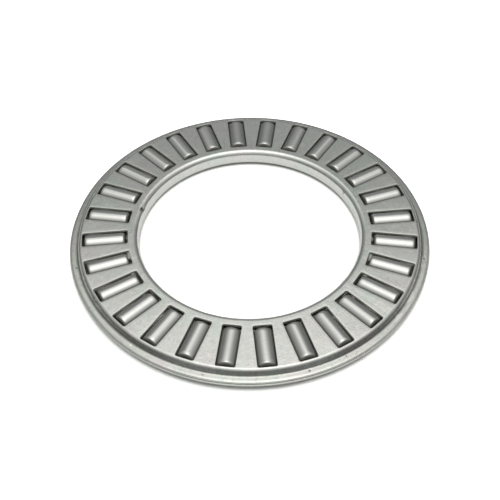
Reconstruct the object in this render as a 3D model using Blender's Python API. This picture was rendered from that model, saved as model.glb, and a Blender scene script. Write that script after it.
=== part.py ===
"""Needle roller thrust bearing: a two-piece pressed steel cage and its ring of cylindrical rollers.

Origin at the bearing's centre, on the mid-plane of the cage. +Z is the bearing's axis. +X runs
along the axis of roller_01, and the rollers are numbered counter-clockwise seen from +Z.
All driving dimensions are in millimetres; MM turns them into metres.
"""

import math

import bmesh
import bpy
from mathutils import Matrix, Vector

MM = 0.001

# ---- driving dimensions, mm -------------------------------------------------
ROLLER_COUNT = 28
ROLLER_R = 0.992            # 5/64 inch diameter rollers
ROLLER_LENGTH = 4.02
ROLLER_CENTRE_R = 14.575    # radius of the circle through the rollers' middles
ROLLER_CHAMFER = 0.20

SHEET = 0.27                # thickness of the pressed sheet
HALF_HEIGHT = 0.833         # cage mid-plane to its outer flat face
CLEARANCE = 0.02            # between the two halves, at the flanges and at the bore

BORE_R = 11.22              # inside of the upper half's bore wall
BORE_WALL_FOOT = -0.60      # height of the bore wall's lower edge
BORE_WALL_EASE = SHEET * 0.3  # bevel on the bore side of that edge
BORE_BEND_R = 0.60          # outer bend radius at the top of the bore wall
LIP_BEND_R = 0.50           # outer bend radius of the lower half's nested lip
LIP_TOP = 0.10              # height of the lip's upper edge

STEP_TOP_R = 17.05          # where the outer step would leave the flat face if it were sharp
STEP_FOOT_R = 17.40         # where it meets the rim flange
STEP_ROUND = 0.41           # radius with which the face rolls over into the step
LOWER_RIM_R = 18.15         # outside of the lower half's rim flange
UPPER_RIM_R = 18.05         # outside of the upper half's, a little smaller
RIM_ROUND = 0.38            # width of the flange's rounded edge
RIM_NOSE = 0.14             # height left upright at the flange's outer edge

WINDOW_IN_R = 12.27         # inner and outer ends of a roller window
WINDOW_OUT_R = 16.83
WINDOW_WIDTH = 1.81
WINDOW_CORNER_R = 0.18
PUNCH_HEIGHT = 3.0          # more than the cage's whole height

# ---- mesh resolution --------------------------------------------------------
RING_STEPS = 3 * ROLLER_COUNT   # facets around the ring: three to each roller pitch
ROLLER_SIDES = 20
BEND_STEPS = 4                  # outside of the bore and lip bends
FILLET_STEPS = 2                # inside of the same bends
ROUND_STEPS = 3                 # top of the outer step, and the rim's edge
CORNER_STEPS = 2                # each corner of a window
MERGE_DISTANCE = 1e-6           # metres; closes the seam of a revolved ring
SHARP_ANGLE = math.radians(35)  # edges turning more than this are shaded sharp


# ---- scene helpers ----------------------------------------------------------
def clear_scene():
    for obj in list(bpy.data.objects):
        bpy.data.objects.remove(obj, do_unlink=True)
    for mesh in list(bpy.data.meshes):
        bpy.data.meshes.remove(mesh)


def steel(name, colour, roughness):
    material = bpy.data.materials.new(name)
    material.use_nodes = True
    shader = material.node_tree.nodes["Principled BSDF"]
    shader.inputs["Base Color"].default_value = (*colour, 1.0)
    shader.inputs["Metallic"].default_value = 1.0
    shader.inputs["Roughness"].default_value = roughness
    return material


def add_object(name, mesh, parent=None):
    """Object in the scene; without a mesh it is an empty."""
    obj = bpy.data.objects.new(name, mesh)
    bpy.context.scene.collection.objects.link(obj)
    obj.parent = parent
    return obj


def finish_mesh(name, bm):
    """Turn the faces outwards and store the result as a mesh."""
    bmesh.ops.recalc_face_normals(bm, faces=bm.faces[:])
    mesh = bpy.data.meshes.new(name)
    bm.normal_update()
    bm.to_mesh(mesh)
    bm.free()
    return mesh


def dress(mesh, material):
    """Give the mesh its only material and its smooth shading."""
    mesh.materials.clear()
    mesh.materials.append(material)
    mesh.shade_smooth()
    mesh.set_sharp_from_angle(angle=SHARP_ANGLE)


def roller_angle(index):
    return 2 * math.pi * index / ROLLER_COUNT


# ---- cage sections, as (radius, height) points ------------------------------
def ellipse_arc(centre, radii, start_deg, end_deg, steps):
    """Points on an ellipse's arc, both ends included."""
    points = []
    for i in range(steps + 1):
        angle = math.radians(start_deg + (end_deg - start_deg) * i / steps)
        points.append((centre[0] + radii[0] * math.cos(angle),
                       centre[1] + radii[1] * math.sin(angle)))
    return points


def circle_arc(centre, radius, start_deg, end_deg, steps):
    return ellipse_arc(centre, (radius, radius), start_deg, end_deg, steps)


def rim_section(rim_r):
    """Upper half's outer step and flange: along the outside surface going out, then back inside."""
    flange_under = CLEARANCE / 2
    flange_top = flange_under + SHEET
    slope = Vector((STEP_FOOT_R - STEP_TOP_R, flange_top - HALF_HEIGHT)).normalized()
    tilt = math.degrees(math.atan2(-slope.y, slope.x))

    # The flat face rolls over until it has the step's tilt.
    round_start_r = STEP_TOP_R - STEP_ROUND * math.tan(math.radians(tilt / 2))
    points = circle_arc((round_start_r, HALF_HEIGHT - STEP_ROUND), STEP_ROUND,
                        90, 90 - tilt, ROUND_STEPS)
    points.append((STEP_FOOT_R, flange_top))
    nose_top = flange_under + RIM_NOSE
    points += ellipse_arc((rim_r - RIM_ROUND, nose_top), (RIM_ROUND, flange_top - nose_top),
                          90, 0, ROUND_STEPS)

    # The step's inside surface runs parallel to its outside, one sheet thickness away.
    inward = Vector((slope.y, -slope.x))
    inside_start = Vector((STEP_TOP_R, HALF_HEIGHT)) + inward * SHEET
    points.append((rim_r, flange_under))
    for z in (flange_under, HALF_HEIGHT - SHEET):
        points.append((inside_start.x + slope.x * (z - inside_start.y) / slope.y, z))
    return points


def upper_section():
    """The upper half turns down at the bore and stands there as the bore's wall."""
    bend_centre = (BORE_R + BORE_BEND_R, HALF_HEIGHT - BORE_BEND_R)
    section = [
        (BORE_R + SHEET, BORE_WALL_FOOT),
        (BORE_R + BORE_WALL_EASE, BORE_WALL_FOOT),
        (BORE_R, BORE_WALL_FOOT + BORE_WALL_EASE),
    ]
    section += circle_arc(bend_centre, BORE_BEND_R, 180, 90, BEND_STEPS)
    section += rim_section(UPPER_RIM_R)
    section += circle_arc(bend_centre, BORE_BEND_R - SHEET, 90, 180, FILLET_STEPS)
    return section


def lower_section():
    """The lower half's lip nests around the outside of the upper half's bore wall."""
    lip_r = BORE_R + SHEET + CLEARANCE
    bend_centre = (lip_r + LIP_BEND_R, -HALF_HEIGHT + LIP_BEND_R)
    section = [(lip_r, LIP_TOP)]
    section += circle_arc(bend_centre, LIP_BEND_R, 180, 270, BEND_STEPS)
    section += [(radius, -z) for radius, z in rim_section(LOWER_RIM_R)]
    section += circle_arc(bend_centre, LIP_BEND_R - SHEET, 270, 180, FILLET_STEPS)
    section.append((lip_r + SHEET, LIP_TOP))
    return section


# ---- cage -------------------------------------------------------------------
def ring_mesh(name, section):
    """Ring with this closed section. The facets' middles lie on the true radius."""
    bm = bmesh.new()
    half_facet = math.pi / RING_STEPS
    stretch = 1.0 / math.cos(half_facet)
    start = Matrix.Rotation(half_facet, 4, "Z")
    verts = [bm.verts.new(start @ Vector((radius * stretch * MM, 0.0, z * MM)))
             for radius, z in section]
    edges = [bm.edges.new((verts[i], verts[(i + 1) % len(verts)])) for i in range(len(verts))]
    bmesh.ops.spin(bm, geom=verts + edges, cent=(0, 0, 0), axis=(0, 0, 1), dvec=(0, 0, 0),
                   angle=2 * math.pi, steps=RING_STEPS, use_merge=False)
    bmesh.ops.remove_doubles(bm, verts=bm.verts[:], dist=MERGE_DISTANCE)
    return finish_mesh(name, bm)


def window_outline():
    """Rounded rectangle of the window on +X, counter-clockwise seen from +Z."""
    side = WINDOW_WIDTH / 2 - WINDOW_CORNER_R
    near = WINDOW_IN_R + WINDOW_CORNER_R
    far = WINDOW_OUT_R - WINDOW_CORNER_R
    corners = ((far, side), (near, side), (near, -side), (far, -side))
    outline = []
    for i, centre in enumerate(corners):
        outline += circle_arc(centre, WINDOW_CORNER_R, 90 * i, 90 * i + 90, CORNER_STEPS)
    return outline


def window_punch_mesh():
    """One rounded bar for each window, standing through both halves."""
    bm = bmesh.new()
    outline = window_outline()
    for k in range(ROLLER_COUNT):
        turn = Matrix.Rotation(roller_angle(k), 4, "Z")
        base = bm.faces.new([
            bm.verts.new(turn @ Vector((x * MM, y * MM, -PUNCH_HEIGHT / 2 * MM)))
            for x, y in reversed(outline)
        ])
        raised = bmesh.ops.extrude_face_region(bm, geom=[base])
        top_verts = [item for item in raised["geom"] if isinstance(item, bmesh.types.BMVert)]
        bmesh.ops.translate(bm, verts=top_verts, vec=(0, 0, PUNCH_HEIGHT * MM))
    return finish_mesh("window_punch", bm)


def add_window_punch(parent):
    punch = add_object("window_punch", window_punch_mesh(), parent)
    punch.hide_render = True
    punch.display_type = "WIRE"
    return punch


def add_cage_half(name, section, punch, parent, material):
    """One cage half; its windows are cut and the result kept as a plain mesh."""
    half = add_object(name, ring_mesh(name, section), parent)
    cut = half.modifiers.new("windows", "BOOLEAN")
    cut.operation = "DIFFERENCE"
    cut.object = punch
    cut.solver = "EXACT"
    bpy.context.view_layer.update()
    evaluated = half.evaluated_get(bpy.context.evaluated_depsgraph_get())
    finished = bpy.data.meshes.new_from_object(evaluated)
    half.modifiers.clear()
    half.data = finished
    finished.name = name
    dress(finished, material)


# ---- rollers ----------------------------------------------------------------
def roller_mesh():
    """Cylinder along local X with chamfered ends."""
    bm = bmesh.new()
    end = ROLLER_LENGTH / 2
    end_r = ROLLER_R - ROLLER_CHAMFER
    stations = [                # x, radius
        (-end, end_r),
        (-end + ROLLER_CHAMFER, ROLLER_R),
        (end - ROLLER_CHAMFER, ROLLER_R),
        (end, end_r),
    ]
    rings = []
    for x, radius in stations:
        ring = []
        for i in range(ROLLER_SIDES):
            angle = 2 * math.pi * i / ROLLER_SIDES
            y, z = radius * math.sin(angle), radius * math.cos(angle)
            ring.append(bm.verts.new((x * MM, y * MM, z * MM)))
        rings.append(ring)
    for ring, following in zip(rings, rings[1:]):
        for i in range(ROLLER_SIDES):
            j = (i + 1) % ROLLER_SIDES
            bm.faces.new((ring[i], ring[j], following[j], following[i]))
    bm.faces.new(rings[0])
    bm.faces.new(list(reversed(rings[-1])))
    return finish_mesh("roller", bm)


def add_rollers(parent, material):
    """All rollers share one mesh; each lies with its axis along a radius."""
    shared = roller_mesh()
    dress(shared, material)
    for k in range(ROLLER_COUNT):
        angle = roller_angle(k)
        roller = add_object(f"roller_{k + 1:02d}", shared, parent)
        roller.location = (ROLLER_CENTRE_R * math.cos(angle) * MM,
                           ROLLER_CENTRE_R * math.sin(angle) * MM, 0.0)
        roller.rotation_euler = (0.0, 0.0, angle)


def build():
    clear_scene()
    cage_steel = steel("cage_steel", colour=(0.56, 0.57, 0.56), roughness=0.42)
    roller_steel = steel("roller_steel", colour=(0.66, 0.66, 0.65), roughness=0.20)

    bearing = add_object("bearing", None)
    punch = add_window_punch(bearing)
    add_cage_half("upper_cage_half", upper_section(), punch, bearing, cage_steel)
    add_cage_half("lower_cage_half", lower_section(), punch, bearing, cage_steel)
    add_rollers(bearing, roller_steel)


build()
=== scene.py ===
"""Cage-and-roller ring of a needle bearing: 28 rollers lying radially in a two-part sheet cage.

The ring's axis is Z and its middle plane is z = 0. roller_01 lies along +X and the rest follow
counter-clockwise. Sizes are in millimetres unless noted; they become metres as objects are made.
"""
import math

import bmesh
import bpy
import numpy as np
from mathutils import Matrix, Vector


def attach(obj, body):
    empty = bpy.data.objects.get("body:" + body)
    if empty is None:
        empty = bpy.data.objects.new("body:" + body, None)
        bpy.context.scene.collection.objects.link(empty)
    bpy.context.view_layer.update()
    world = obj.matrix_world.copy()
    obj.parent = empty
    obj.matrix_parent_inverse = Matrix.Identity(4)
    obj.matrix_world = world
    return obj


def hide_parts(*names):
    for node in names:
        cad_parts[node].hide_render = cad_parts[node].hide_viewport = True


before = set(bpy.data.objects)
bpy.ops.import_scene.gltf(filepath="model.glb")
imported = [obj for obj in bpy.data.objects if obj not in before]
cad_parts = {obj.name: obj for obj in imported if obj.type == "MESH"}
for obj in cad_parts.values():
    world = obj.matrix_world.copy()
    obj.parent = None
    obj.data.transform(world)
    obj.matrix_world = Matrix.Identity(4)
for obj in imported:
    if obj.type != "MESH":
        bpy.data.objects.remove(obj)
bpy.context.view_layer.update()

MM = 0.001
COUNT = 28
PITCH = 2 * math.pi / COUNT
STUDIO_TURN = math.radians(5.017)    # the studio's +X lies this far clockwise of roller_01's axis

# ---- rollers ----
ROLLER_R, ROLLER_LENGTH, ROLLER_CENTRE_R = 0.992, 4.02, 14.575
ROLLER_SIDES = 80
RELIEF_LENGTH, RELIEF_R = 0.24, 1.90     # the gentle curve that leads to each end
ROLLER_CORNER_R = 0.25
END_DISH = 0.012                         # how far the middle of an end face is sunk

# ---- cage section ----
SHEET, HALF_HEIGHT, HALF_GAP = 0.27, 0.833, 0.02
BORE_R, BORE_WALL_FOOT, BORE_BEND_R = 11.22, -0.60, 0.56
LIP_R = BORE_R + SHEET + HALF_GAP        # the lower half's lip nests behind the upper half's wall
LIP_BEND_R, LIP_TOP = 0.50, 0.10
BEND_MARGIN = 0.03                       # flat run kept between a bore bend and the windowed part
STEP_TOP_R, STEP_FOOT_R, STEP_ROUND = 17.05, 17.40, 0.41
RIM_R, UPPER_RIM_R, RIM_ROUND, RIM_NOSE, FLANGE_FALL = 18.15, 18.05, 0.38, 0.14, 0.018
FLANGE_BACK = HALF_GAP / 2
FLANGE_FACE = FLANGE_BACK + SHEET
STEP_TILT = math.atan2(HALF_HEIGHT - FLANGE_FACE, STEP_FOOT_R - STEP_TOP_R)
STEP_START = STEP_TOP_R - STEP_ROUND * math.tan(STEP_TILT / 2)   # the face rolls over from here
INNER_BEND = STEP_TOP_R - SHEET / math.tan((math.pi - STEP_TILT) / 2)
FLAT_END = 16.94                         # where the windowed part meets the rim's profile
LONGEST_RUN = 0.30                       # longer straight runs of the profile are cut up

# ---- windows ----
WINDOW_IN_R, WINDOW_OUT_R, WINDOW_WIDTH, WINDOW_CORNER_R = 12.27, 16.83, 1.81, 0.18
CROWD_START, CROWD_SCALE = WINDOW_OUT_R + 0.045, 0.12    # loops are squeezed beyond this x
EDGE_R, EDGE_DROP = 0.028, 0.007         # rounding of a window's edge on the face, and its sag
BACK_EDGE_R = 0.03                       # rounding of the edge on the sheet's other side
CLOSE_ROW, CLOSE_ROWS = 0.057, 3         # spacing and number of rows where the face rolls over

N_SHORT, N_LONG, N_CORNER = 6, 14, 6     # segments along a window's ends, sides and corners
N_ARC = N_SHORT + N_CORNER               # segments round the ring in one pitch
N_SIDE = N_LONG + N_CORNER               # segments along a radial side of one pitch
PITCH_ANGLES = [-PITCH / 2 + PITCH * i / N_ARC for i in range(N_ARC + 1)]

WELD_DISTANCE = 4e-7                     # metres
SHARP_ANGLE = math.radians(40)


def spot_at(degrees, radius, z):
    """A place on the cage from its angle in the studio's frame."""
    angle = math.radians(degrees) - STUDIO_TURN
    return Vector((radius * math.cos(angle), radius * math.sin(angle), z))


# Knocks and burrs on the upper half: place (degrees, radius, z), size,
# depth (below zero stands out) and grey level
MARKS = [(spot_at(*place), size, depth, shade) for place, size, depth, shade in (
    ((165.3, 11.46, 0.66), 0.34, 0.17, 0.10),        # nick in the bore's rolled edge; its near-black grey is painted shade
    ((-148.3, 17.13, 0.72), 0.26, 0.05, 0.95),       # bright knock on the step's shoulder; its near-white grey is a painted highlight
    ((-73.0, 17.62, 0.27), 0.20, 0.035, 0.20),       # this and the next five: flange
    ((-13.1, 17.60, 0.27), 0.20, 0.030, 0.22),
    ((-164.6, 17.60, 0.27), 0.20, 0.030, 0.22),
    ((-104.0, 17.66, 0.27), 0.16, 0.020, 0.30),
    ((-61.0, 17.58, 0.27), 0.16, 0.020, 0.30),
    ((-128.0, 17.64, 0.27), 0.18, 0.020, 0.90),
    ((27.5, 11.26, 0.33), 0.24, -0.06, 0.30),        # burrs at the bore's edge
    ((-38.2, 11.30, 0.45), 0.24, -0.07, 0.25),
)]


# ---------------------------------------------------------------- profiles
def arc(centre, width, height, first, last, segments):
    """Points of an elliptical arc, its angles (radians) turning from the second axis to the first."""
    return [(centre[0] + width * math.sin(angle), centre[1] + height * math.cos(angle))
            for angle in np.linspace(first, last, segments + 1)]


def straight(start, end, segments):
    """Evenly spaced points from start up to, but not including, end."""
    return [(start[0] + (end[0] - start[0]) * i / segments,
             start[1] + (end[1] - start[1]) * i / segments) for i in range(segments)]


def fillet(points):
    """Rounds an open chain: end points (r, z) and between them corners (r, z, radius, segments)."""
    out = [points[0][:2]]
    for before, here, after in zip(points, points[1:], points[2:]):
        corner, (radius, segments) = Vector(here[:2]), here[2:]
        to_before = (Vector(before[:2]) - corner).normalized()
        to_after = (Vector(after[:2]) - corner).normalized()
        half_angle = math.acos(to_before.dot(to_after)) / 2
        reach = radius / math.tan(half_angle)
        middle = corner + (to_before + to_after).normalized() * (radius / math.sin(half_angle))
        start = corner + to_before * reach - middle
        end = corner + to_after * reach - middle
        sweep = math.atan2(start.x * end.y - start.y * end.x, start.dot(end))
        for i in range(segments + 1):
            cos, sin = math.cos(sweep * i / segments), math.sin(sweep * i / segments)
            out.append((middle.x + start.x * cos - start.y * sin,
                        middle.y + start.x * sin + start.y * cos))
    out.append(points[-1][:2])
    return out


def densify(chain):
    """Cuts up long straight runs, so that the ring's quads stay compact."""
    out = []
    for start, end in zip(chain, chain[1:]):
        pieces = max(1, math.ceil(math.dist(start, end) / LONGEST_RUN))
        out += straight(start, end, pieces)
    return out + [chain[-1]]


def roll_off(radius):
    """How far the face has dropped at this radius, where it rolls over the step."""
    past = max(0.0, radius - STEP_START)
    return STEP_ROUND - math.sqrt(STEP_ROUND ** 2 - past ** 2)


def roll_under(radius):
    """The same for the sheet's other side, which turns down the slope at once."""
    return max(0.0, radius - INNER_BEND) * math.tan(STEP_TILT)


def rim_chain(rim_r):
    """Upper half's profile over the step, round the flange and back under to the windowed part."""
    first = math.asin((FLAT_END - STEP_START) / STEP_ROUND)
    step_centre = (STEP_START, HALF_HEIGHT - STEP_ROUND)
    chain = arc(step_centre, STEP_ROUND, STEP_ROUND, first, STEP_TILT, segments=9)
    chain += fillet([chain[-1], (STEP_FOOT_R, FLANGE_FACE, 0.03, 3),
                     (rim_r - RIM_ROUND, FLANGE_FACE - FLANGE_FALL)])[1:]
    nose = FLANGE_BACK + RIM_NOSE
    chain += arc((rim_r - RIM_ROUND, nose), RIM_ROUND, FLANGE_FACE - FLANGE_FALL - nose,
                 0, math.pi / 2, segments=8)[1:]

    # The slope's underside lies one sheet below its face; it meets the flange's back at foot_r
    slope = Vector((math.cos(STEP_TILT), -math.sin(STEP_TILT)))
    under = Vector((STEP_TOP_R, HALF_HEIGHT)) + Vector((slope.y, -slope.x)) * SHEET
    foot_r = under.x + slope.x * (FLANGE_BACK - under.y) / slope.y
    chain += fillet([(rim_r, nose), (rim_r, FLANGE_BACK, 0.045, 4), (foot_r, FLANGE_BACK, 0.20, 5),
                     (FLAT_END, HALF_HEIGHT - SHEET - roll_under(FLAT_END))])[1:]
    return chain


def bore_chain(up, wall_r, end_z, bend_r, bend_segments, outer_round, inner_round):
    """Profile of the wall at the bore, from the sheet's back round the wall's end to its face.

    up is 1 for the upper half and -1 for the lower. The rounds are (radius, segments).
    """
    face, back = up * HALF_HEIGHT, up * (HALF_HEIGHT - SHEET)
    flat_r = wall_r + bend_r + BEND_MARGIN
    return fillet([(flat_r, back), (wall_r + SHEET, back, bend_r - SHEET, 5),
                   (wall_r + SHEET, end_z, *outer_round), (wall_r, end_z, *inner_round),
                   (wall_r, face, bend_r, bend_segments), (flat_r, face)])


# ---------------------------------------------------------------- cage
def polar(radius, angle):
    return radius * math.cos(angle), radius * math.sin(angle)


def window_loop(margin):
    """Closed loop this far outside the window at +X, starting at the middle of a corner."""
    side_y = WINDOW_WIDTH / 2 - WINDOW_CORNER_R
    near, far = WINDOW_IN_R + WINDOW_CORNER_R, WINDOW_OUT_R - WINDOW_CORNER_R
    centres = ((far, side_y), (near, side_y), (near, -side_y), (far, -side_y))

    def corner_point(corner, i):
        centre_x, centre_y = centres[corner % 4]
        x, y = polar(WINDOW_CORNER_R + margin, math.radians(90 * (corner % 4 + i / N_CORNER)))
        return centre_x + x, centre_y + y

    points = []
    for corner, segments in enumerate((N_LONG, N_SHORT, N_LONG, N_SHORT)):
        points += [corner_point(corner, i) for i in range(N_CORNER // 2, N_CORNER)]
        points += straight(corner_point(corner, N_CORNER), corner_point(corner + 1, 0), segments)
        points += [corner_point(corner + 1, i) for i in range(N_CORNER // 2)]
    return [(x if x < CROWD_START else CROWD_START + (x - CROWD_START) * CROWD_SCALE, y)
            for x, y in points]


def cell_loop(r_in, r_out):
    """The loop round one pitch that the window loop joins to, point for point."""
    side = [r_out - CLOSE_ROW * i for i in range(CLOSE_ROWS + 1)]
    last, rest = side[-1], N_SIDE - CLOSE_ROWS
    side += [last + (r_in - last) * i / rest for i in range(1, rest + 1)]
    return ([polar(r, PITCH / 2) for r in side[:-1]]
            + [polar(r_in, angle) for angle in PITCH_ANGLES[:0:-1]]
            + [polar(r, -PITCH / 2) for r in side[:0:-1]]
            + [polar(r_out, angle) for angle in PITCH_ANGLES[:-1]])


def sheet_cell(up, rim, bore):
    """One pitch of a cage half: (points, quads)."""
    verts, quads = [], []

    def add_row(points):
        first = len(verts)
        verts.extend(points)
        return list(range(first, len(verts)))

    def join_rows(rows, closed):
        for row, following in zip(rows, rows[1:]):
            for i in range(len(row) if closed else len(row) - 1):
                j = (i + 1) % len(row)
                quads.append((row[i], row[j], following[j], following[i]))

    def on_face(x, y):
        return up * (HALF_HEIGHT - roll_off(math.hypot(x, y)))

    def on_back(x, y):
        return up * (HALF_HEIGHT - SHEET - roll_under(math.hypot(x, y)))

    def half_way(x, y):
        return (on_face(x, y) + on_back(x, y)) / 2

    def blend(outer, inner, share):
        return [(a[0] * share + b[0] * (1 - share), a[1] * share + b[1] * (1 - share))
                for a, b in zip(outer, inner)]

    # Loops from the cell's edge over the face, down the window's wall and out along the back:
    # (points, surface they follow, how far they stand proud of it)
    outer, inner = cell_loop(bore[-1][0], rim[0][0]), window_loop(0.20)
    loops = [(blend(outer, inner, share), on_face, 0.0) for share in (1.0, 0.66, 0.33, 0.0)]
    loops.append((window_loop(0.12), on_face, -EDGE_DROP * 0.25))
    loops.append((window_loop(EDGE_R + 0.012), on_face, -EDGE_DROP))
    for i in range(5):
        angle = math.radians(90 * i / 4)
        loops.append((window_loop(EDGE_R * (1 - math.sin(angle))), on_face,
                      -(EDGE_DROP + EDGE_R * (1 - math.cos(angle)))))
    loops.append((window_loop(0.0), half_way, 0.0))
    for i in range(3):
        angle = math.radians(90 * i / 2)
        loops.append((window_loop(BACK_EDGE_R * (1 - math.cos(angle))), on_back,
                      BACK_EDGE_R * (1 - math.sin(angle))))
    outer, inner = cell_loop(bore[0][0], rim[-1][0]), window_loop(0.08)
    loops += [(blend(outer, inner, share), on_back, 0.0) for share in (0.0, 0.5, 1.0)]
    join_rows([add_row([(x, y, surface(x, y) + up * proud) for x, y in points])
               for points, surface, proud in loops], closed=True)

    for chain in (rim, bore):
        join_rows([add_row([(*polar(r, angle), z) for angle in PITCH_ANGLES])
                   for r, z in chain], closed=False)
    return np.array(verts), quads


def press_marks(bm):
    """Dents or raises the surface round each mark."""
    for place, size, depth, _ in MARKS:
        for v in bm.verts:
            near = (v.co / MM - place).length / size
            if near < 1.0:
                v.co -= v.normal * (depth * (1.0 - near * near) ** 2 * MM)


def cage_half(up, rim_r, bore):
    """The whole ring: the cell turned round once per roller and sewn together."""
    rim = densify([(r, up * z) for r, z in rim_chain(rim_r)])
    verts, quads = sheet_cell(up, rim, densify(bore))
    bm = bmesh.new()
    for k in range(COUNT):
        cos, sin = math.cos(PITCH * k), math.sin(PITCH * k)
        turned = verts @ np.array([[cos, sin, 0], [-sin, cos, 0], [0, 0, 1.0]]) * MM
        new = [bm.verts.new(place) for place in turned]
        for quad in quads:
            bm.faces.new([new[i] for i in quad])
    bmesh.ops.remove_doubles(bm, verts=bm.verts[:], dist=WELD_DISTANCE)
    bmesh.ops.recalc_face_normals(bm, faces=bm.faces[:])
    bm.normal_update()
    return bm


def smooth_mesh(name, bm):
    """Turns the bmesh into a smooth-shaded mesh with its sharp edges marked."""
    mesh = bpy.data.meshes.new(name)
    bm.normal_update()
    bm.to_mesh(mesh)
    bm.free()
    mesh.shade_smooth()
    mesh.set_sharp_from_angle(angle=SHARP_ANGLE)
    return mesh


def add_object(name, data):
    obj = bpy.data.objects.new(name, data)
    bpy.context.scene.collection.objects.link(obj)
    return obj


# ---------------------------------------------------------------- rollers
def roller_chain():
    """(x, radius) from a roller's middle to its end face."""
    last = math.asin(RELIEF_LENGTH / RELIEF_R)
    start = ROLLER_LENGTH / 2 - RELIEF_LENGTH - ROLLER_CORNER_R * (1 - math.sin(last))
    chain = [(x, ROLLER_R) for x in np.linspace(0, start, 9)]
    chain += arc((start, ROLLER_R - RELIEF_R), RELIEF_R, RELIEF_R, 0, last, segments=5)[1:]
    x, radius = chain[-1]
    corner = (x - ROLLER_CORNER_R * math.sin(last), radius - ROLLER_CORNER_R * math.cos(last))
    chain += arc(corner, ROLLER_CORNER_R, ROLLER_CORNER_R, last, math.pi / 2, segments=10)[1:]
    end, radius = chain[-1]
    dish = end - END_DISH
    return chain + [(end, radius * 0.86), (dish, radius * 0.55), (dish, radius * 0.25)]


def roller_mesh():
    """A roller along X, with its rest position stored so that its marks follow its own axis."""
    chain = roller_chain()
    bm = bmesh.new()
    rings = []
    for x, radius in [(-x, radius) for x, radius in reversed(chain)] + chain[1:]:
        around = [polar(radius, 2 * math.pi * i / ROLLER_SIDES) for i in range(ROLLER_SIDES)]
        rings.append([bm.verts.new((x * MM, y * MM, z * MM)) for z, y in around])
    for ring, following in zip(rings, rings[1:]):
        for i in range(ROLLER_SIDES):
            j = (i + 1) % ROLLER_SIDES
            bm.faces.new((ring[i], ring[j], following[j], following[i]))
    for ring in (rings[0], rings[-1]):
        hub = bm.verts.new((ring[0].co.x, 0, 0))
        for i in range(ROLLER_SIDES):
            bm.faces.new((ring[i], ring[(i + 1) % ROLLER_SIDES], hub))
    bmesh.ops.recalc_face_normals(bm, faces=bm.faces[:])
    mesh = smooth_mesh("roller_fine", bm)
    own = mesh.attributes.new("own_place", "FLOAT_VECTOR", "POINT")
    own.data.foreach_set("vector", [value for v in mesh.vertices for value in v.co])
    return mesh


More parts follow.
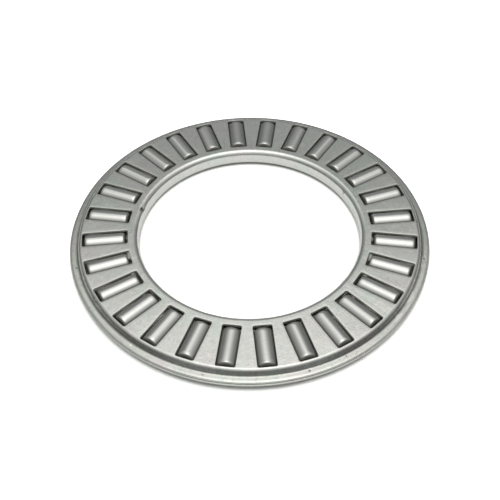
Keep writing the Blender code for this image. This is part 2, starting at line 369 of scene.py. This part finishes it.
# ---------------------------------------------------------------- shader helper
class Graph:
    """Adds shader nodes to an emptied tree and wires them. Colours are given as (r, g, b)."""

    def __init__(self, owner):
        owner.use_nodes = True
        self.tree = owner.node_tree
        self.tree.nodes.clear()

    def node(self, kind, **settings):
        node = self.tree.nodes.new(kind)
        for name, value in settings.items():
            setattr(node, name, value)
        return node

    def put(self, socket, value):
        if isinstance(value, bpy.types.NodeSocket):
            self.tree.links.new(value, socket)
        else:
            socket.default_value = (*value, 1.0) if socket.type == "RGBA" else value

    def math(self, operation, *values, clamp=False):
        node = self.node("ShaderNodeMath", operation=operation, use_clamp=clamp)
        for socket, value in zip(node.inputs, values):
            self.put(socket, value)
        return node.outputs[0]

    def times(self, first, *others):
        for other in others:
            first = self.math("MULTIPLY", first, other)
        return first

    def plus(self, a, b, clamp=False):
        return self.math("ADD", a, b, clamp=clamp)

    def minus(self, a, b):
        return self.math("SUBTRACT", a, b)

    def swing(self, value, middle, gain):
        return self.times(self.minus(value, middle), gain)

    def rise(self, value, over, low=0.0, high=1.0):
        """Eases from low to high as value goes over the span."""
        node = self.node("ShaderNodeMapRange", interpolation_type="SMOOTHSTEP")
        for socket, setting in zip(node.inputs, (value, *over, low, high)):
            self.put(socket, setting)
        return node.outputs[0]

    def fall(self, value, over, high=1.0, low=0.0):
        return self.rise(value, over, low=high, high=low)

    def band(self, value, rising, falling):
        return self.times(self.rise(value, over=rising), self.fall(value, over=falling))

    def mix(self, amount, under, over, blend="MIX"):
        node = self.node("ShaderNodeMix", data_type="RGBA", blend_type=blend)
        for index, value in ((0, amount), (6, under), (7, over)):
            self.put(node.inputs[index], value)
        return node.outputs[2]

    def layer(self, tone, mask, colour, strength=None):
        """Lays a colour over the tone where the mask is set."""
        amount = mask if strength is None else self.times(mask, strength)
        return self.mix(amount, tone, colour)

    def tint(self, tone, mask, colour, strength=None):
        """Multiplies the tone by a colour where the mask is set."""
        return self.layer(tone, mask, self.mix(1.0, tone, colour, "MULTIPLY"), strength)

    def vector(self, operation, *values):
        node = self.node("ShaderNodeVectorMath", operation=operation)
        for socket, value in zip(node.inputs, values):
            self.put(socket, value)
        return node.outputs["Vector" if operation == "MULTIPLY" else "Value"]

    def coordinate(self, kind):
        return self.node("ShaderNodeTexCoord").outputs[kind]

    def in_mm(self, vector):
        return self.vector("MULTIPLY", vector, (1000.0, 1000.0, 1000.0))

    def axes(self, vector):
        node = self.node("ShaderNodeSeparateXYZ")
        self.put(node.inputs[0], vector)
        return node.outputs

    def noise(self, vector, scale, detail, rough=0.5):
        node = self.node("ShaderNodeTexNoise")
        for name, value in (("Vector", vector), ("Scale", scale), ("Detail", detail),
                            ("Roughness", rough)):
            self.put(node.inputs[name], value)
        return node.outputs["Fac"]

    def specks(self, vector, scale, edge, patch_scale, patch_over, patch_high=1.0):
        """Round spots, kept only inside broad patches."""
        cells = self.node("ShaderNodeTexVoronoi")
        self.put(cells.inputs["Vector"], vector)
        self.put(cells.inputs["Scale"], scale)
        patch = self.noise(vector, scale=patch_scale, detail=1.0)
        return self.times(self.fall(cells.outputs["Distance"], over=edge),
                          self.rise(patch, over=patch_over, high=patch_high))

    def openness(self, distance):
        """Ambient occlusion: 1 in the open, less in recesses. Distance in metres."""
        node = self.node("ShaderNodeAmbientOcclusion", samples=8, only_local=False)
        self.put(node.inputs["Distance"], distance)
        return node.outputs["AO"]

    def bumps(self, *heights):
        """Stacked bumps from (height, distance in metres) pairs."""
        normal = None
        for height, distance in heights:
            node = self.node("ShaderNodeBump")
            node.inputs["Strength"].default_value = 1.0
            node.inputs["Distance"].default_value = distance
            self.put(node.inputs["Height"], height)
            if normal is not None:
                self.put(node.inputs["Normal"], normal)
            normal = node.outputs["Normal"]
        return normal

    def steel(self, **channels):
        """Principled surface; an underscore in a channel's name stands for a space."""
        node = self.node("ShaderNodeBsdfPrincipled")
        for name, value in channels.items():
            self.put(node.inputs[name.replace("_", " ")], value)
        self.finish("ShaderNodeOutputMaterial", node.outputs[0])

    def shader(self, kind, colour, strength=None):
        node = self.node(kind)
        self.put(node.inputs[0], colour)
        if strength is not None:
            self.put(node.inputs[1], strength)
        return node.outputs[0]

    def lit_and_seen(self, kind, first, second, seen):
        """Sum of two shaders for the light, another shader for what the camera sees directly."""
        both = self.node("ShaderNodeAddShader")
        self.put(both.inputs[0], first)
        self.put(both.inputs[1], second)
        pick = self.node("ShaderNodeMixShader")
        self.put(pick.inputs[0], self.node("ShaderNodeLightPath").outputs["Is Camera Ray"])
        self.put(pick.inputs[1], both.outputs[0])
        self.put(pick.inputs[2], seen)
        self.finish(kind, pick.outputs[0])

    def finish(self, kind, surface):
        self.put(self.node(kind).inputs["Surface"], surface)


# ---------------------------------------------------------------- materials
def cage_material():
    """Pressed sheet steel: satin and grained, with pits, bright worn edges and recesses dulled by
    painted shade.
    """
    material = bpy.data.materials.new("cage_steel")
    g = Graph(material)
    mm = g.in_mm(g.coordinate("Object"))
    radius = g.vector("LENGTH", g.vector("MULTIPLY", mm, (1.0, 1.0, 0.0)))
    y = g.axes(mm)["Y"]
    broad = g.noise(mm, scale=0.35, detail=2.0)
    mottle = g.noise(mm, scale=1.6, detail=3.0, rough=0.6)
    grain = g.noise(mm, scale=6.5, detail=3.0, rough=0.65)
    fine = g.noise(mm, scale=26.0, detail=2.0, rough=0.6)
    worn = g.rise(g.node("ShaderNodeNewGeometry").outputs["Pointiness"], over=(0.505, 0.56))

    # Painted shade lies in the windows and down their walls, taken from the ambient occlusion
    openness = g.openness(distance=0.0007)
    recess = g.fall(openness, over=(0.25, 0.85))
    upright = g.fall(g.math("ABSOLUTE", g.axes(g.coordinate("Normal"))["Z"]), over=(0.30, 0.75))
    pocket = g.band(radius, rising=(12.15, 12.22), falling=(16.86, 16.90))
    painted_shade = g.math("MAXIMUM", g.fall(openness, over=(0.30, 0.62)), g.times(upright, pocket))

    # Pits everywhere, and more on the flange
    flange = g.rise(radius, over=(17.36, 17.45))
    pit = g.specks(mm, scale=2.1, edge=(0.02, 0.10), patch_scale=0.9, patch_over=(0.50, 0.62))
    rust = g.specks(mm, scale=4.2, edge=(0.06, 0.24), patch_scale=1.1, patch_over=(0.44, 0.58),
                    patch_high=0.8)
    pit = g.math("MAXIMUM", pit, g.times(rust, flange))

    # A patchy darker strip along the step's foot, and painted shade, mottled, over the step on the -Y
    # side
    foot_patches = g.noise(mm, scale=4.5, detail=4.0, rough=0.7)
    foot = g.times(g.fall(g.math("ABSOLUTE", g.minus(radius, 17.39)), over=(0.02, 0.13)),
                   g.rise(foot_patches, over=(0.42, 0.66), high=0.55))
    spread = g.minus(radius, g.rise(y, over=(-17.2, -11.5), high=0.10))
    step_front_shade = g.times(g.rise(radius, over=(17.06, 17.17)), g.fall(spread, over=(17.41, 17.47)),
                   g.rise(y, over=(3.0, -5.0)))

    tone = g.mix(g.rise(broad, over=(0.35, 0.65)), (0.715, 0.720, 0.695), (0.765, 0.765, 0.740))
    tone = g.layer(tone, g.rise(mottle, over=(0.3, 0.7)), (0.61, 0.62, 0.61), strength=0.35)
    tone = g.layer(tone, g.rise(grain, over=(0.40, 0.62)), (0.85, 0.85, 0.83), strength=0.70)
    tone = g.layer(tone, g.rise(fine, over=(0.40, 0.60), high=0.60), (0.54, 0.54, 0.52))
    tone = g.layer(tone, pit, (0.22, 0.22, 0.20), strength=0.7)
    tone = g.layer(tone, foot, (0.24, 0.24, 0.22))
    # Painted shade, mottled, on the step's -Y side
    tone = g.layer(tone, step_front_shade, (0.30, 0.30, 0.275),
                   strength=g.rise(mottle, over=(0.3, 0.7), low=0.52, high=0.76))
    tone = g.tint(tone, flange, (0.90, 0.90, 0.895), strength=0.9)
    tone = g.layer(tone, worn, (0.80, 0.80, 0.78), strength=0.5)
    # Painted shade in recesses
    tone = g.layer(tone, recess, (0.45, 0.44, 0.41), strength=0.15)

    # Faint oxide tints, greenish to lilac
    oxide = g.noise(mm, scale=0.42, detail=2.0)
    tone = g.tint(tone, g.fall(oxide, over=(0.35, 0.50), high=0.55), (0.93, 1.02, 0.97))
    tone = g.tint(tone, g.rise(oxide, over=(0.50, 0.65), high=0.55), (1.01, 0.97, 1.00))

    # The bore's rolled edge is lightened: partly rubbed bright, partly a painted highlight along its
    # bend
    rolled = g.band(radius, rising=(11.26, 11.40), falling=(11.60, 11.85))
    tone = g.layer(tone, rolled, (0.86, 0.86, 0.84), strength=0.12)
    # The nick's near-black is painted shade and the shoulder knock's near-white a painted highlight;
    # the other marks keep their own greys
    for place, size, _, shade in MARKS:
        here = g.fall(g.vector("DISTANCE", mm, place), over=(size * 0.35, size * 0.75), high=0.85)
        tone = g.layer(tone, here, (shade, shade, shade * 0.97))
    # Painted shade: enclosed places and the windows' walls turn dark grey and lose their metal look
    tone = g.layer(tone, painted_shade, g.mix(upright, (0.36, 0.355, 0.32), (0.48, 0.475, 0.43)))

    rough = g.plus(0.22, g.swing(mottle, middle=0.5, gain=0.16))
    rough = g.plus(rough, g.swing(grain, middle=0.5, gain=0.16))
    rough = g.plus(rough, g.times(recess, 0.18))
    rough = g.minus(rough, g.times(worn, 0.06))
    rough = g.plus(rough, g.times(painted_shade, 0.30), clamp=True)

    normal = g.bumps((g.noise(mm, scale=0.75, detail=1.0), 12.0e-6), (mottle, 5.0e-6),
                     (grain, 5.4e-6), (fine, 2.0e-6), (g.minus(1.0, pit), 12.0e-6))
    g.steel(Base_Color=tone, Metallic=g.minus(1.0, painted_shade), Roughness=rough, Normal=normal)
    return material


def roller_material():
    """Ground steel: bright, with faint marks running round each roller."""
    material = bpy.data.materials.new("roller_steel")
    g = Graph(material)
    mm = g.in_mm(g.node("ShaderNodeAttribute", attribute_name="own_place").outputs["Vector"])
    # Noise squeezed along the roller's axis makes the marks and the broader bands
    marks = g.noise(g.vector("MULTIPLY", mm, (22.0, 0.6, 0.6)), scale=1.0, detail=3.0, rough=0.6)
    bands = g.noise(g.vector("MULTIPLY", mm, (3.0, 0.5, 0.5)), scale=1.0, detail=2.0)
    smudge = g.noise(mm, scale=0.9, detail=3.0, rough=0.6)
    spots = g.specks(mm, scale=3.0, edge=(0.02, 0.07), patch_scale=1.1, patch_over=(0.56, 0.64))

    # Painted shade darkens the flanks, where the cage closes round them, and the ends
    half = ROLLER_LENGTH / 2
    ends = g.rise(g.math("ABSOLUTE", g.axes(mm)["X"]), over=(half - 0.16, half - 0.07))
    flanks = g.fall(g.openness(distance=0.0006), over=(0.58, 0.86))
    painted_shade = g.math("MAXIMUM", flanks, ends)

    per_roller = g.node("ShaderNodeObjectInfo").outputs["Random"]
    tone = g.mix(per_roller, (0.655, 0.655, 0.640), (0.69, 0.69, 0.68))
    tone = g.layer(tone, g.rise(marks, over=(0.4, 0.7)), (0.58, 0.58, 0.57), strength=0.22)
    tone = g.layer(tone, g.rise(smudge, over=(0.45, 0.75)), (0.60, 0.60, 0.58), strength=0.25)
    tone = g.layer(tone, spots, (0.35, 0.35, 0.33), strength=0.5)
    # Painted shade: dark grey flanks and slightly lighter ends, not metallic
    tone = g.layer(tone, painted_shade, g.mix(ends, (0.165, 0.165, 0.150), (0.21, 0.205, 0.185)))

    rough = g.plus(0.17, g.swing(smudge, middle=0.4, gain=0.14))
    rough = g.plus(rough, g.times(bands, 0.06))
    rough = g.plus(rough, g.times(painted_shade, 0.30), clamp=True)
    g.steel(Base_Color=tone, Metallic=g.minus(1.0, painted_shade), Roughness=rough,
            Normal=g.bumps((marks, 1.2e-6), (smudge, 2.0e-6)))
    return material


def floor_material():
    """A light table, dark under the bearing as painted shadow; the camera sees it as brightly lit
    paper instead, with a painted contact shadow.
    """
    material = bpy.data.materials.new("pale_floor")
    g = Graph(material)
    radius = g.times(g.vector("LENGTH", g.coordinate("Object")), 1000.0)
    outside = g.rise(radius, over=(17.6, 20.5))
    inside = g.fall(radius, over=(10.7, 11.6))
    near = g.fall(radius, over=(20.5, 31.0), low=0.10)
    paper = g.shader("ShaderNodeBsdfDiffuse", g.mix(near, (0.0, 0.0, 0.0), (0.90, 0.90, 0.90)))
    power = g.times(g.plus(outside, g.times(inside, 0.66)), near, 0.45)
    glow = g.shader("ShaderNodeEmission", (1.0, 1.0, 1.0), power)

    # Seen directly, the paper darkens towards the bearing's rim and bore: a painted contact shadow
    clear = g.plus(g.rise(radius, over=(17.70, 18.22), low=0.20),
                   g.fall(radius, over=(11.15, 11.60), high=0.80, low=0.12))
    seen = g.shader("ShaderNodeBsdfDiffuse", g.mix(clear, (0.0, 0.0, 0.0), (2.3, 2.3, 2.3)))
    g.lit_and_seen("ShaderNodeOutputMaterial", paper, glow, seen)
    return material


# ---------------------------------------------------------------- studio
def make_floor():
    bm = bmesh.new()
    bmesh.ops.create_grid(bm, x_segments=1, y_segments=1, size=2.0)
    mesh = bpy.data.meshes.new("floor")
    bm.to_mesh(mesh)
    bm.free()
    floor = add_object("floor", mesh)
    floor.location.z = -(ROLLER_R + 0.002) * MM
    mesh.materials.append(floor_material())


def make_world():
    """One round soft box overhead, a little behind the object, a rear box and dimmer walls."""
    world = bpy.data.worlds.new("studio")
    bpy.context.scene.world = world
    g = Graph(world)
    turn = g.node("ShaderNodeVectorRotate", rotation_type="Z_AXIS")
    g.put(turn.inputs["Vector"], g.coordinate("Generated"))
    g.put(turn.inputs["Angle"], STUDIO_TURN)
    x, y, z = g.axes(turn.outputs[0])

    # Angles from straight overhead in degrees: right and behind (away from the camera) are positive
    degrees = 180 / math.pi
    side = g.times(g.math("ARCTAN2", x, z), degrees)
    depth = g.times(g.math("ARCSINE", g.times(y, 1.0)), degrees)
    across = g.minus(side, 2.5)
    across = g.times(across, across)
    leaned = g.minus(depth, 4.0)
    behind = g.math("MAXIMUM", leaned, 0.0)
    before = g.times(g.math("MINIMUM", leaned, 0.0), 0.69)       # falls off slower in front
    along = g.plus(g.times(behind, behind), g.times(before, before))

    def bell(width):
        return g.math("EXPONENT", g.math("DIVIDE", across, -width ** 2))

    def lobe(power, width, length):
        exponent = g.plus(g.math("DIVIDE", across, -width ** 2),
                          g.math("DIVIDE", g.times(along, 1.0), -length ** 2))
        return g.times(g.math("EXPONENT", exponent), power)

    rear_box = g.times(g.band(depth, rising=(26.0, 34.0), falling=(35.0, 43.0)), bell(width=46.0))
    box = g.plus(lobe(power=1.32, width=23.5, length=23.0), lobe(power=0.56, width=63.0, length=41.0))
    box = g.plus(box, g.times(rear_box, 0.68))
    box = g.times(box, g.fall(depth, over=(33.0, 46.0), low=0.52))
    fade = g.times(g.rise(depth, over=(18.0, 34.0)),
                   g.rise(side, over=(-26.0, 26.0), low=-0.03, high=0.14))
    box = g.times(box, g.minus(1.0, fade))

    back_wall = g.times(g.rise(depth, over=(36.0, 50.0)), bell(width=66.0))
    front_wall = g.times(g.rise(depth, over=(-86.0, -68.0), low=0.2),
                         g.fall(depth, over=(-52.0, -34.0)))
    wall = g.plus(0.13, g.times(back_wall, 0.15))
    wall = g.plus(wall, g.times(front_wall, 0.17))

    g.lit_and_seen("ShaderNodeOutputWorld",
                   g.shader("ShaderNodeBackground", (0.955, 1.0, 0.985), wall),
                   g.shader("ShaderNodeBackground", (1.0, 0.995, 0.960), box),
                   seen=g.shader("ShaderNodeBackground", (1.0, 1.0, 1.0), 1.0))


def make_camera():
    """The camera stands on the studio's -Y side and looks down at the ring."""
    elevation, roll = 0.8464126, -0.01186824                     # radians
    eye = Vector((0.0629377, -56.8526383, 61.5627154)) * MM      # in the studio's axes
    back = Vector((0, -math.cos(elevation), math.sin(elevation)))
    level = Vector((1, 0, 0))
    rise = level.cross(-back)
    right = level * math.cos(roll) + rise * math.sin(roll)
    up = -level * math.sin(roll) + rise * math.cos(roll)
    pose = Matrix((right, up, back)).transposed().to_4x4()
    pose.translation = eye
    camera = add_object("camera", bpy.data.cameras.new("camera"))
    camera.matrix_world = Matrix.Rotation(-STUDIO_TURN, 4, "Z") @ pose
    camera.data.sensor_width = 36.0
    camera.data.lens = 59.22
    camera.data.shift_x, camera.data.shift_y = -0.0007, 0.0004
    camera.data.clip_start, camera.data.clip_end = 0.001, 20.0
    bpy.context.scene.camera = camera


# ---------------------------------------------------------------- build
def add_cage_half(name, node, bm, material):
    half = add_object(name, smooth_mesh(name, bm))
    half.data.materials.append(material)
    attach(half, "cage")
    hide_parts(node)


def add_rollers(material):
    shared = roller_mesh()
    shared.materials.append(material)
    for k in range(COUNT):
        node = "roller_%02d" % (k + 1)
        roller = add_object(node + "_fine", shared)
        x, y = polar(ROLLER_CENTRE_R, PITCH * k)
        roller.location = (x * MM, y * MM, 0.0)
        roller.rotation_euler = (0.0, 0.0, PITCH * k)
        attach(roller, node)
        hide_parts(node)


cage_steel = cage_material()
roller_steel = roller_material()

upper = cage_half(1, UPPER_RIM_R, bore_chain(
    1, BORE_R, BORE_WALL_FOOT, BORE_BEND_R, bend_segments=16,
    outer_round=(0.05, 3), inner_round=(0.09, 5)))
press_marks(upper)
add_cage_half("upper_cage_fine", "upper_cage_half", upper, cage_steel)
lower = cage_half(-1, RIM_R, bore_chain(
    -1, LIP_R, LIP_TOP, LIP_BEND_R, bend_segments=12,
    outer_round=(0.03, 2), inner_round=(0.03, 2)))
add_cage_half("lower_cage_fine", "lower_cage_half", lower, cage_steel)
add_rollers(roller_steel)

make_floor()
make_world()
make_camera()
bpy.context.scene.view_settings.view_transform = "Standard"
bpy.context.scene.view_settings.look = "None"

bpy.context.view_layer.update()
